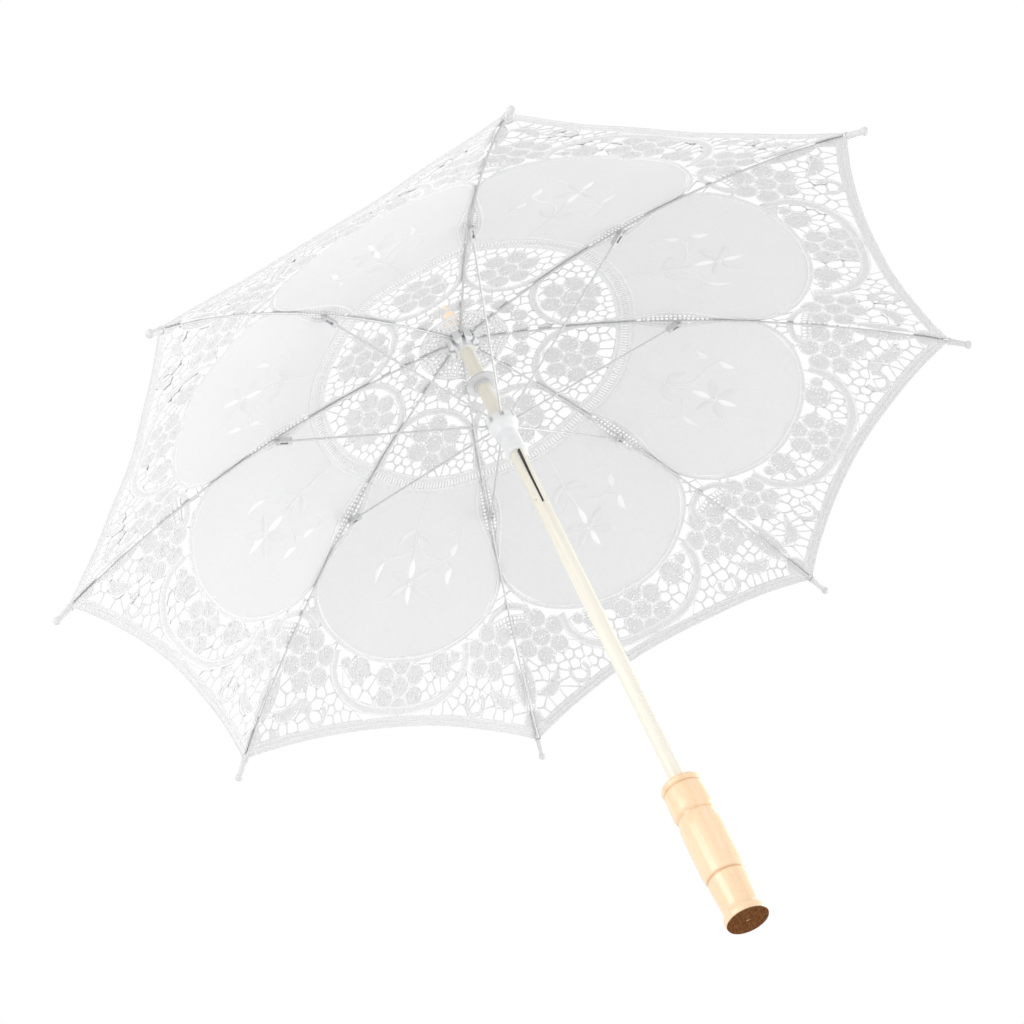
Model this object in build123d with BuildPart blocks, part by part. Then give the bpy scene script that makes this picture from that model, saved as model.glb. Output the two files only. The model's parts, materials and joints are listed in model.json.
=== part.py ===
from build123d import *
from math import asin, atan2, cos, degrees, hypot, radians, sin, sqrt
import os

# A small lace sun parasol, open and upright. Millimetres and degrees.
# Origin: centre of the handle's flat underside. +Z runs up the shaft to the ferrule.

RIBS = 8
RIB_STEP = 360 / RIBS

# Canopy and rib frame, as radius from the shaft axis and height
PIVOT_R = 7.5
NOTCH_Z = 434.0
CORNER_R = 270.0
CORNER_Z = 325.0
RIB_SAG = 16.0
RIB_WIRE_R = 0.7
RIB_OVERRUN = 5.0
JOINT_R = 126.5
JOINT_DROP = 2.6

# Hinge wires and the eyes that turn on them
RING_WIRE_R = 0.5
RING_GROOVE_GAP = 0.03
EYE_R = 1.6
EYE_THICK = 1.7
EYE_HOLE_R = 0.6
EYE_INSET = 1.2
SLOT_W = 2.2
SLOT_IN_R = 5.6

# Rivet joint between rib and stretcher
LUG_THICK = 1.2
LUG_R = 1.7
LUG_HOLE_R = 0.56
RIVET_R = 0.5
FORK_GAP = 1.4
FORK_EAR = 0.8
FORK_R = 1.75
FORK_LEN = 8.0
FORK_BASE = 2.6
RIVET_HEAD_R = 1.0
RIVET_HEAD_T = 0.4
STRETCHER_WIRE_R = 0.65

# Shaft, ferrule and catch
SHAFT_R = 4.5
SHAFT_BASE_Z = 58.0
TENON_Z = 440.5
TENON_TOP_Z = 454.0
TENON_R = 3.0
FERRULE_TOP_Z = 466.0
FERRULE_R = 5.4
CATCH_AZ = 5.0
CATCH_SLOT_W = 1.4
CATCH_SLOT_FLOOR = 1.2
CATCH_SLOT_Z = (294.5, 336.2)
CATCH_W = 1.0
CATCH_PIVOT = (2.9, 298.0)
CATCH_PIN_R = 0.6

# White cap on each rib's end
CAP_R = 1.9
CAP_LEN = 11.5
CAP_TAPER = 1.5
CAP_COLLAR = (2.3, 1.6)
CAP_BALL_R = 2.5
CAP_BALL_AT = 12.6

# Plastic fittings
NOTCH_R = 9.3
NOTCH_BOTTOM_Z = 428.5
NOTCH_TOP_Z = 437.4
RUNNER_BORE_R = 4.57
RUNNER_SLEEVE_R = 6.4
RUNNER_CROWN_R = 9.3
RUNNER_BOTTOM_Z = 337.0
STOP_DISC_Z = 397.0
STOP_DISC_R = 10.5
ROSETTE_R = 12.0

# Handle
HANDLE_H = 89.4
GRIP_R = 12.0
GRIP_Z = (34.0, 58.0)
FLANGE_R = 11.95
UNDERSIDE_DIMPLE = (1.3, 1.2)

# Cloth
CLOTH_GAP = 0.4
CLOTH_THICK = 0.8
CLOTH_INNER_R = 13.6
CLOTH_OUTER_R = 268.0
HEM_MID_R = 254.0
CLOTH_EDGE_GAP = 0.3

# The rib is one arc from the notch pivot to the canopy's corner
CHORD = hypot(CORNER_R - PIVOT_R, NOTCH_Z - CORNER_Z)
CHORD_FALL = degrees(atan2(NOTCH_Z - CORNER_Z, CORNER_R - PIVOT_R))
ARC_R = (CHORD**2 / 4 + RIB_SAG**2) / (2 * RIB_SAG)
ARC_HALF = degrees(asin(CHORD / 2 / ARC_R))
ARC_UP = 90 - CHORD_FALL
ARC_X = (PIVOT_R + CORNER_R) / 2 - (ARC_R - RIB_SAG) * cos(radians(ARC_UP))
ARC_Z = (NOTCH_Z + CORNER_Z) / 2 - (ARC_R - RIB_SAG) * sin(radians(ARC_UP))


def rib_angle(radius, rise=0.0):
    """The arc's angle where it stands that far from the shaft, on a line that far above the rib."""
    return degrees(atan2(sqrt((ARC_R + rise) ** 2 - (radius - ARC_X) ** 2), radius - ARC_X))


def arc_point(angle, rise=0.0):
    r = ARC_R + rise
    return ARC_X + r * cos(radians(angle)), ARC_Z + r * sin(radians(angle))


# The stretcher's two pivots. Equal links make the runner travel straight down the shaft.
JOINT_ANGLE = rib_angle(JOINT_R, -JOINT_DROP)
JOINT = arc_point(JOINT_ANGLE, -JOINT_DROP)
RUNNER_PIVOT = (PIVOT_R, 2 * JOINT[1] - NOTCH_Z)
LINK = hypot(JOINT[0] - PIVOT_R, JOINT[1] - RUNNER_PIVOT[1])
RUNNER_TOP_Z = RUNNER_PIVOT[1] + 2.6


def radial_plane(azimuth, offset=0.0):
    """The upright plane through the shaft at that azimuth: local x is radius, local y is height."""
    a = radians(azimuth)
    plane = Plane(origin=(0, 0, 0), x_dir=(cos(a), sin(a), 0), z_dir=(sin(a), -cos(a), 0))
    return plane.offset(offset)


def save(part, name):
    part.label = name
    export_step(part, f"parts/{name}.step")


def handle():
    """Turned beech handle: flared foot, waist, grip, neck, band and rim bead, with the shaft's socket."""
    with BuildPart() as turned:
        with BuildSketch(Plane.XZ):
            with BuildLine():
                foot = Polyline((0, 0), (11.3, 0))
                flange = ThreePointArc(foot @ 1, (FLANGE_R, 2.4), (11.4, 5.2))
                flare = Spline(flange @ 1, (10.35, 9.4), tangents=((-0.9, 0.6), (0.05, 1)))
                waist = Spline(flare @ 1, (10.5, 14.0), (11.1, 26.0), tangents=((0.05, 1), (0, 1)))
                groove = Polyline(waist @ 1, (10.5, 27.0), (10.5, 27.6), (11.4, 28.6))
                lower = Spline(groove @ 1, (GRIP_R, GRIP_Z[0]), tangents=((0.15, 1), (0, 1)))
                grip = Line(lower @ 1, (GRIP_R, GRIP_Z[1]))
                upper = Spline(grip @ 1, (11.3, 64.0), (10.5, 66.0), tangents=((0, 1), (-1, 0.8)))
                neck = Polyline(upper @ 1, (10.5, 67.4))
                band_foot = ThreePointArc(neck @ 1, (11.4, 68.4), (11.85, 70.6))
                band = Spline(band_foot @ 1, (11.85, 76.0), (11.4, 83.6), tangents=((0.05, 1), (-0.1, 1)))
                rim_groove = Polyline(band @ 1, (11.0, 84.2), (11.0, 84.8))
                bead = ThreePointArc(rim_groove @ 1, (11.9, 86.8), (10.9, 88.8))
                top = Spline(bead @ 1, (8.5, HANDLE_H), tangents=((-0.7, 0.3), (-1, 0)))
                Polyline(top @ 1, (0, HANDLE_H), (0, 0))
            make_face()
        revolve(axis=Axis.Z)
        with BuildSketch(Plane.XY.offset(SHAFT_BASE_Z)):
            Circle(SHAFT_R)
        extrude(amount=HANDLE_H, mode=Mode.SUBTRACT)
        with BuildSketch(Plane.XY):
            Circle(UNDERSIDE_DIMPLE[0])
        extrude(amount=UNDERSIDE_DIMPLE[1], mode=Mode.SUBTRACT)
    save(turned.part, "handle")


def shaft():
    """Straight wooden shaft with a tenon for the ferrule, a slot for the catch and its pin hole."""
    with BuildPart() as rod:
        with BuildSketch(Plane.XY.offset(SHAFT_BASE_Z)):
            Circle(SHAFT_R)
        extrude(amount=TENON_Z - SHAFT_BASE_Z)
        with BuildSketch(Plane.XY.offset(TENON_Z)):
            Circle(TENON_R)
        extrude(amount=TENON_TOP_Z - TENON_Z)
        low, high = CATCH_SLOT_Z
        with BuildSketch(radial_plane(CATCH_AZ)):
            with Locations((CATCH_SLOT_FLOOR + SHAFT_R, (low + high) / 2)):
                Rectangle(2 * SHAFT_R, high - low)
        extrude(amount=CATCH_SLOT_W / 2, both=True, mode=Mode.SUBTRACT)
        with BuildSketch(radial_plane(CATCH_AZ)):
            with Locations(CATCH_PIVOT):
                Circle(CATCH_PIN_R)
        extrude(amount=SHAFT_R, both=True, mode=Mode.SUBTRACT)
    save(rod.part, "shaft")


def ferrule():
    """Turned natural-wood tip that clamps the cloth down on the notch."""
    with BuildPart() as tip:
        with BuildSketch(Plane.XZ):
            with BuildLine():
                foot = Polyline((0, TENON_Z), (FERRULE_R, TENON_Z), (FERRULE_R, TENON_Z + 3.0))
                cove = ThreePointArc(foot @ 1, (4.7, TENON_Z + 4.2), (4.5, TENON_Z + 5.6))
                side = Spline(
                    cove @ 1, (4.9, 452.0), (3.4, 463.5), tangents=((0.1, 1), (-0.5, 1))
                )
                Spline(side @ 1, (0, FERRULE_TOP_Z), tangents=((-0.5, 1), (-1, 0)))
                Line((0, FERRULE_TOP_Z), (0, TENON_Z))
            make_face()
        revolve(axis=Axis.Z)
        with BuildSketch(Plane.XY.offset(TENON_Z)):
            Circle(TENON_R)
        extrude(amount=TENON_TOP_Z - TENON_Z, mode=Mode.SUBTRACT)
    save(tip.part, "ferrule")


def rib_slot(k, low, high):
    """Outline of one radial slot, from the ring wire's inner side outwards."""
    with BuildSketch(radial_plane(k * RIB_STEP)) as outline:
        with Locations((SLOT_IN_R + NOTCH_R, (low + high) / 2)):
            Rectangle(2 * NOTCH_R, high - low)
    return outline.sketch


def ring_section(height, radius):
    """Round section of a ring about the shaft, at the pivots' radius."""
    with BuildSketch(Plane.XZ) as section:
        with Locations((PIVOT_R, height)):
            Circle(radius)
    return section.sketch


def notch():
    """White plastic top notch, fixed to the shaft, slotted from below for the rib eyes."""
    with BuildPart() as hub:
        with BuildSketch(Plane.XZ):
            with BuildLine():
                Polyline(
                    (SHAFT_R, NOTCH_BOTTOM_Z - 3.5),
                    (6.0, NOTCH_BOTTOM_Z - 3.5),
                    (6.4, NOTCH_BOTTOM_Z),
                    (NOTCH_R - 0.8, NOTCH_BOTTOM_Z),
                    (NOTCH_R, NOTCH_BOTTOM_Z + 0.8),
                    (NOTCH_R, NOTCH_TOP_Z - 0.7),
                    (NOTCH_R - 0.7, NOTCH_TOP_Z),
                    (SHAFT_R, NOTCH_TOP_Z),
                    close=True,
                )
            make_face()
        revolve(axis=Axis.Z)
        for k in range(RIBS):
            slot = rib_slot(k, NOTCH_BOTTOM_Z - 5.0, NOTCH_Z + EYE_R + 0.5)
            extrude(slot, amount=SLOT_W / 2, both=True, mode=Mode.SUBTRACT)
        groove = ring_section(NOTCH_Z, RING_WIRE_R + RING_GROOVE_GAP)
        revolve(groove, axis=Axis.Z, mode=Mode.SUBTRACT)
    save(hub.part, "notch")


def runner():
    """White plastic runner: a sliding sleeve with a slotted crown for the stretchers."""
    crown_z = RUNNER_PIVOT[1] - 4.6
    with BuildPart() as slider:
        with BuildSketch(Plane.XZ):
            with BuildLine():
                Polyline(
                    (RUNNER_BORE_R, RUNNER_BOTTOM_Z),
                    (RUNNER_SLEEVE_R + 0.2, RUNNER_BOTTOM_Z),
                    (RUNNER_SLEEVE_R + 0.5, RUNNER_BOTTOM_Z + 0.4),
                    (RUNNER_SLEEVE_R + 0.5, RUNNER_BOTTOM_Z + 2.2),
                    (RUNNER_SLEEVE_R, RUNNER_BOTTOM_Z + 2.8),
                    (RUNNER_SLEEVE_R, crown_z - 5.0),
                    (RUNNER_CROWN_R - 0.5, crown_z),
                    (RUNNER_CROWN_R, crown_z + 1.2),
                    (RUNNER_CROWN_R, RUNNER_TOP_Z - 0.8),
                    (RUNNER_CROWN_R - 0.8, RUNNER_TOP_Z),
                    (RUNNER_BORE_R, RUNNER_TOP_Z),
                    close=True,
                )
            make_face()
        revolve(axis=Axis.Z)
        for k in range(RIBS):
            slot = rib_slot(k, RUNNER_PIVOT[1] - EYE_R - 0.5, RUNNER_TOP_Z + 2.0)
            extrude(slot, amount=SLOT_W / 2, both=True, mode=Mode.SUBTRACT)
        groove = ring_section(RUNNER_PIVOT[1], RING_WIRE_R + RING_GROOVE_GAP)
        revolve(groove, axis=Axis.Z, mode=Mode.SUBTRACT)
    save(slider.part, "runner")


def ring_wire(height, name):
    """Wire ring that all the eyes of one fitting turn on."""
    with BuildPart() as ring:
        revolve(ring_section(height, RING_WIRE_R), axis=Axis.Z)
    save(ring.part, name)


def stop_disc():
    """Soft translucent washer pushed onto the shaft between the notch and the runner."""
    with BuildPart() as washer:
        with BuildSketch(Plane.XZ):
            with BuildLine():
                Polyline(
                    (SHAFT_R, STOP_DISC_Z - 3.4),
                    (5.9, STOP_DISC_Z - 3.4),
                    (6.1, STOP_DISC_Z - 1.2),
                    (STOP_DISC_R - 0.5, STOP_DISC_Z - 0.7),
                    (STOP_DISC_R, STOP_DISC_Z),
                    (STOP_DISC_R - 0.5, STOP_DISC_Z + 0.7),
                    (6.1, STOP_DISC_Z + 1.2),
                    (5.9, STOP_DISC_Z + 3.4),
                    (SHAFT_R, STOP_DISC_Z + 3.4),
                    close=True,
                )
            make_face()
        revolve(axis=Axis.Z)
    save(washer.part, "stop_disc")


def crown_rosette():
    """Round of doubled cloth between the notch and the ferrule, where the canopy is gathered."""
    with BuildPart() as patch:
        with BuildSketch(Plane.XY.offset(NOTCH_TOP_Z)):
            Circle(ROSETTE_R)
            Circle(SHAFT_R, mode=Mode.SUBTRACT)
        extrude(amount=TENON_Z - NOTCH_TOP_Z - 1.2)
        with BuildSketch(Plane.XY.offset(TENON_Z - 1.2)):
            Circle(FERRULE_R + 1.6)
            Circle(SHAFT_R, mode=Mode.SUBTRACT)
        extrude(amount=1.2)
    save(patch.part, "crown_rosette")


def catch():
    """Bent steel leaf in the shaft's slot, with a nose that holds the runner up, and its cross pin."""
    x, z = CATCH_PIVOT
    nose_z = CATCH_SLOT_Z[1] - 0.6
    with BuildPart() as leaf:
        with BuildSketch(radial_plane(CATCH_AZ)):
            with BuildLine():
                Polyline(
                    (x - 0.9, z - 1.3),
                    (x + 0.9, z - 1.3),
                    (x + 0.9, z + 2.0),
                    (SHAFT_R + 1.9, nose_z - 2.4),
                    (SHAFT_R + 1.9, nose_z),
                    (x + 1.5, nose_z),
                    (x + 1.5, nose_z - 3.4),
                    (x - 0.9, z + 4.0),
                    close=True,
                )
            make_face()
            with Locations(CATCH_PIVOT):
                Circle(CATCH_PIN_R + 0.05, mode=Mode.SUBTRACT)
        extrude(amount=CATCH_W / 2, both=True)
    save(leaf.part, "catch_spring")
    with BuildPart() as pin:
        with BuildSketch(radial_plane(CATCH_AZ, -(SHAFT_R - 1.4))):
            with Locations(CATCH_PIVOT):
                Circle(CATCH_PIN_R)
        extrude(amount=2 * (SHAFT_R - 1.4))
    save(pin.part, "catch_pin")


def rib(k):
    """White steel wire rib: an eye on the notch's ring wire, one long arc and a riveted lug."""
    azimuth = k * RIB_STEP
    a = radians(azimuth)
    start = 90 - CHORD_FALL + ARC_HALF - degrees(EYE_INSET / ARC_R)
    end = 90 - CHORD_FALL - ARC_HALF - degrees(RIB_OVERRUN / ARC_R)
    on_wire = arc_point(JOINT_ANGLE)
    x, z = arc_point(start)
    down = radians(90 - start)
    section = Plane(
        origin=(x * cos(a), x * sin(a), z),
        x_dir=(sin(down) * cos(a), sin(down) * sin(a), cos(down)),
        z_dir=(cos(down) * cos(a), cos(down) * sin(a), -sin(down)),
    )
    bend = Axis((ARC_X * cos(a), ARC_X * sin(a), ARC_Z), (-sin(a), cos(a), 0))
    with BuildPart() as wire:
        with BuildSketch(section):
            Circle(RIB_WIRE_R)
        revolve(axis=bend, revolution_arc=start - end)
        with BuildSketch(radial_plane(azimuth)):
            with Locations((PIVOT_R, NOTCH_Z)):
                Circle(EYE_R)
        extrude(amount=EYE_THICK / 2, both=True)
        with BuildSketch(radial_plane(azimuth)):
            with Locations(JOINT):
                Circle(LUG_R)
            with Locations(Location(((JOINT[0] + on_wire[0]) / 2, (JOINT[1] + on_wire[1]) / 2), JOINT_ANGLE)):
                Rectangle(JOINT_DROP, 2 * LUG_R)
        extrude(amount=LUG_THICK / 2, both=True)
        with BuildSketch(radial_plane(azimuth)):
            with Locations((PIVOT_R, NOTCH_Z)):
                Circle(EYE_HOLE_R)
            with Locations(JOINT):
                Circle(LUG_HOLE_R)
        extrude(amount=EYE_THICK, both=True, mode=Mode.SUBTRACT)
    save(wire.part, f"rib_{k + 1}")


def tip_cap(k):
    """White cap: a slim sleeve over the rib's end, with a collar for the cloth's tie and a ball end."""
    azimuth = k * RIB_STEP
    angle = 90 - CHORD_FALL - ARC_HALF
    x, z = arc_point(angle)
    a, fall = radians(azimuth), radians(90 - angle)
    out = (cos(fall) * cos(a), cos(fall) * sin(a), -sin(fall))
    sleeve = Plane(origin=(x * cos(a), x * sin(a), z), z_dir=out)
    with BuildPart() as cap:
        with BuildSketch(sleeve):
            Circle(CAP_R)
        extrude(amount=CAP_LEN, taper=CAP_TAPER)
        with BuildSketch(sleeve):
            Circle(CAP_COLLAR[0])
        extrude(amount=CAP_COLLAR[1])
        with Locations(sleeve.offset(CAP_BALL_AT)):
            Sphere(CAP_BALL_R)
        with BuildSketch(sleeve.offset(-0.5)):
            Circle(RIB_WIRE_R + 0.02)
        extrude(amount=RIB_OVERRUN + 1.0, mode=Mode.SUBTRACT)
    save(cap.part, f"tip_cap_{k + 1}")


def stretcher(k):
    """Straight wire stretcher with a fork at the rib, an eye at the runner, and its rivet."""
    azimuth = k * RIB_STEP
    reach = (JOINT[0] - RUNNER_PIVOT[0], JOINT[1] - RUNNER_PIVOT[1])
    rise = degrees(atan2(reach[1], reach[0]))
    ux, uz = reach[0] / LINK, reach[1] / LINK

    def along(d):
        return JOINT[0] - d * ux, JOINT[1] - d * uz

    a = radians(azimuth)
    foot = (RUNNER_PIVOT[0] + EYE_INSET * ux, RUNNER_PIVOT[1] + EYE_INSET * uz)
    line = Plane(
        origin=(foot[0] * cos(a), foot[0] * sin(a), foot[1]),
        z_dir=(ux * cos(a), ux * sin(a), uz),
    )
    with BuildPart() as strut:
        with BuildSketch(line):
            Circle(STRETCHER_WIRE_R)
        extrude(amount=LINK - EYE_INSET - FORK_LEN + FORK_BASE)
        with BuildSketch(radial_plane(azimuth)):
            with Locations(RUNNER_PIVOT):
                Circle(EYE_R)
        extrude(amount=EYE_THICK / 2, both=True)
        with BuildSketch(radial_plane(azimuth)):
            with Locations(JOINT):
                Circle(FORK_R)
            with Locations(Location(along(FORK_LEN / 2), rise)):
                Rectangle(FORK_LEN, 2 * FORK_R)
        extrude(amount=FORK_GAP / 2 + FORK_EAR, both=True)
        with BuildSketch(radial_plane(azimuth)):
            with Locations(Location(along((FORK_LEN - FORK_BASE) / 2 - 2.0), rise)):
                Rectangle(FORK_LEN - FORK_BASE + 4.0, 6 * FORK_R)
        extrude(amount=FORK_GAP / 2, both=True, mode=Mode.SUBTRACT)
        with BuildSketch(radial_plane(azimuth)):
            with Locations(JOINT):
                Circle(RIVET_R)
            with Locations(RUNNER_PIVOT):
                Circle(EYE_HOLE_R)
        extrude(amount=2 * EYE_THICK, both=True, mode=Mode.SUBTRACT)
    save(strut.part, f"stretcher_{k + 1}")
    half = FORK_GAP / 2 + FORK_EAR
    with BuildPart() as rivet:
        with BuildSketch(radial_plane(azimuth)):
            with Locations(JOINT):
                Circle(RIVET_R)
        extrude(amount=half, both=True)
        for side in (-half - RIVET_HEAD_T, half):
            with BuildSketch(radial_plane(azimuth, side)):
                with Locations(JOINT):
                    Circle(RIVET_HEAD_R)
            extrude(amount=RIVET_HEAD_T)
    save(rivet.part, f"rivet_{k + 1}")


def cloth_strip(plane, outer_r, squeeze):
    """A strip of cloth seen end on in a radial plane: two arcs, the radius shortened by squeeze."""
    low = RIB_WIRE_R + CLOTH_GAP
    inner = rib_angle(CLOTH_INNER_R, low)
    outer = rib_angle(outer_r, low)
    edges = []
    for rise in (low, low + CLOTH_THICK):
        edges.append([arc_point(t, rise) for t in (inner, (inner + outer) / 2, outer)])
    lower, upper = [[(x * squeeze, z) for x, z in edge] for edge in edges]
    with BuildSketch(plane) as strip:
        with BuildLine():
            ThreePointArc(*lower)
            Line(lower[2], upper[2])
            ThreePointArc(*reversed(upper))
            Line(upper[0], lower[0])
        make_face()
    return strip.sketch


def canopy_half(k, side, name):
    """Half a panel of cloth, ruled from its rib to the middle of the panel."""
    azimuth = k * RIB_STEP
    middle = azimuth + side * RIB_STEP / 2
    squeeze = cos(radians(RIB_STEP / 2))
    at_rib = cloth_strip(radial_plane(azimuth, -side * CLOTH_EDGE_GAP), CLOTH_OUTER_R, 1.0)
    at_middle = cloth_strip(radial_plane(middle, side * CLOTH_EDGE_GAP), HEM_MID_R, squeeze)
    with BuildPart() as cloth:
        loft(sections=[at_rib, at_middle], ruled=True)
    save(cloth.part, name)


def main():
    os.makedirs("parts", exist_ok=True)
    handle()
    shaft()
    ferrule()
    notch()
    ring_wire(NOTCH_Z, "notch_wire")
    runner()
    ring_wire(RUNNER_PIVOT[1], "runner_wire")
    stop_disc()
    crown_rosette()
    catch()
    for k in range(RIBS):
        rib(k)
        tip_cap(k)
        stretcher(k)
        canopy_half(k, 1, f"canopy_{k + 1}_left")
        canopy_half(k, -1, f"canopy_{k + 1}_right")


main()
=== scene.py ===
"""The looks of a small lace parasol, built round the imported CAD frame."""

import json
import math
import random

import bpy
import bmesh
import numpy as np
from mathutils import Matrix, Vector
from mathutils.geometry import delaunay_2d_cdt
from mathutils.kdtree import KDTree


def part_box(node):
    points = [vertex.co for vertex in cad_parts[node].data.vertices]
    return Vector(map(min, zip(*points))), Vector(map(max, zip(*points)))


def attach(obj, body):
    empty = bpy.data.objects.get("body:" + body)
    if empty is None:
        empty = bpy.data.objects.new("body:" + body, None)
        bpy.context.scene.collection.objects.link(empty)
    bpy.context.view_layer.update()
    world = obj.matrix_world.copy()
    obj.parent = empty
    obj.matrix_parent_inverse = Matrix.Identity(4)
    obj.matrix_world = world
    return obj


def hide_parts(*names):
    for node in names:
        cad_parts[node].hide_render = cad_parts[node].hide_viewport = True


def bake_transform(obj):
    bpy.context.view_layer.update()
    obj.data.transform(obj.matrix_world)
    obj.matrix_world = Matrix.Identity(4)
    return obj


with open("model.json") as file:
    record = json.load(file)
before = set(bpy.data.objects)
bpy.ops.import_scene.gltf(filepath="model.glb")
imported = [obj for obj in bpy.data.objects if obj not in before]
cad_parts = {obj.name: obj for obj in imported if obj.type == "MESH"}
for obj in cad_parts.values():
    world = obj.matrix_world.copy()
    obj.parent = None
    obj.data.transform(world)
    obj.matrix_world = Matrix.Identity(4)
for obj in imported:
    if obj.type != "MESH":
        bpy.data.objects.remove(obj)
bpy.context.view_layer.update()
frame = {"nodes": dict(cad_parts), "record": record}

# Plan drawing of the canopy. Lengths are millimetres. A panel point (x, y) is in corner radii:
# x across the panel, y from the hub to the straight line that joins the panel's two corners.
MM = 0.001
PANELS = 8
HALF = math.pi / PANELS
COS, SIN = math.cos(HALF), math.sin(HALF)
CORNER_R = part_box("canopy_1_left")[1].x / MM + 1.7
CLOTH_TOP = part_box("crown_rosette")[1].z / MM

# Cloth, tape and thread sizes
HEM_HALF = 1.3
CORD = 0.55
THREAD = 0.5
TAPE_STEP = 1.3
DISC_R = 0.0225
FILL_CELL = 1.7
FILL_THREAD = 0.42
NET_CELL = 6.3

# How far the drawing wanders on the cloth, and how far the cloth is off a true arc between its ribs
DRIFT = 0.8
SLACK = 0.7

# Unit cross sections, anticlockwise: across and rise
ROUND = [(math.cos(math.tau * i / 8), math.sin(math.tau * i / 8)) for i in range(8)]
TAPE_TOP = [(-0.86, 0.8), (-0.66, 1.0), (-0.42, 0.62), (0.0, 0.72), (0.42, 0.62), (0.66, 1.0), (0.86, 0.8)]
TAPE = [(-1.0, 0.0)] + [(a, -b) for a, b in TAPE_TOP] + [(1.0, 0.0)] + TAPE_TOP[::-1]
LEAF = [(-1, 0), (-0.6, -0.8), (0, -1), (0.6, -0.8), (1, 0), (0.6, 0.8), (0, 1), (-0.6, 0.8)]


def at(x, y):
    """A panel point in millimetres: across the panel, and out along its middle."""
    return np.array((x * CORNER_R, y * CORNER_R * COS))


def ray(radius, degrees):
    """A panel point at that share of the corner radius, and that many degrees off the middle."""
    a = math.radians(degrees)
    return np.array((math.sin(a), math.cos(a))) * radius * CORNER_R


def smooth(points, step):
    """Evenly spaced points on a Catmull-Rom curve through the given ones."""
    p = np.array(points, float)
    p = np.vstack([2 * p[0] - p[1], p, 2 * p[-1] - p[-2]])
    t = np.linspace(0, 1, 12, endpoint=False)[:, None]
    spans = []
    for a, b, c, d in zip(p, p[1:], p[2:], p[3:]):
        spans.append(0.5 * (2 * b + (c - a) * t + (2 * a - 5 * b + 4 * c - d) * t**2
                            + (3 * b - a - 3 * c + d) * t**3))
    dense = np.vstack(spans + [p[-2:-1]])
    run = np.append(0, np.cumsum(np.linalg.norm(np.diff(dense, axis=0), axis=1)))
    stops = np.linspace(0, run[-1], max(3, int(round(run[-1] / step)) + 1))
    return np.stack([np.interp(stops, run, dense[:, i]) for i in range(2)], 1)


def arc(centre, radius, start, end, step):
    """Points on a circle's arc, in degrees from +x."""
    count = max(4, int(abs(math.radians(end - start)) * radius / step) + 1)
    t = np.radians(np.linspace(start, end, count))
    return np.array(centre) + radius * np.stack([np.cos(t), np.sin(t)], 1)


# ---------------------------------------------------------------- areas of the drawing


def to_path(points, path):
    """Distance of each point from a run of straight pieces."""
    a, ab = path[:-1], np.diff(path, axis=0)
    best = np.full(len(points), 1e9)
    for i in range(len(a)):
        away = points - a[i]
        t = np.clip(away @ ab[i] / max(ab[i] @ ab[i], 1e-12), 0, 1)
        best = np.minimum(best, np.linalg.norm(away - t[:, None] * ab[i], axis=1))
    return best


def inside(points, outline):
    """Whether each point is in a closed outline."""
    x, y = points[:, 0], points[:, 1]
    found = np.zeros(len(points), bool)
    for (x0, y0), (x1, y1) in zip(outline, np.roll(outline, -1, axis=0)):
        if y0 != y1:
            crosses = (y0 > y) != (y1 > y)
            found ^= crosses & (x < (x1 - x0) * (y - y0) / (y1 - y0) + x0)
    return found


def band(path, half):
    return lambda p: half - to_path(p, path)


def disc(centre, radius):
    return lambda p: radius - np.linalg.norm(p - centre, axis=1)


def area(outline):
    closed = np.vstack([outline, outline[:1]])

    def depth(p):
        away = to_path(p, closed)
        return np.where(inside(p, outline), away, -away)

    return depth


def slope(depth, points):
    """Which way depth grows at each point."""
    e = 0.05
    d = np.stack([depth(points + (e, 0)) - depth(points - (e, 0)),
                  depth(points + (0, e)) - depth(points - (0, e))], 1)
    return d / np.maximum(np.linalg.norm(d, axis=1, keepdims=True), 1e-9)


# ---------------------------------------------------------------- flat meshes


class Flat:
    """A mesh drawn flat: plan x and y, and rise above the cloth, in millimetres."""

    def __init__(self):
        self.points, self.faces, self.weave, self.count = [], [], [], 0

    def add(self, points, faces, weave):
        self.points.append(np.asarray(points, float))
        self.weave.append(np.asarray(weave, float))
        self.faces.extend([tuple(i + self.count for i in face) for face in faces])
        self.count += len(points)

    def arrays(self):
        return np.vstack(self.points), self.faces, np.vstack(self.weave)


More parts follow.
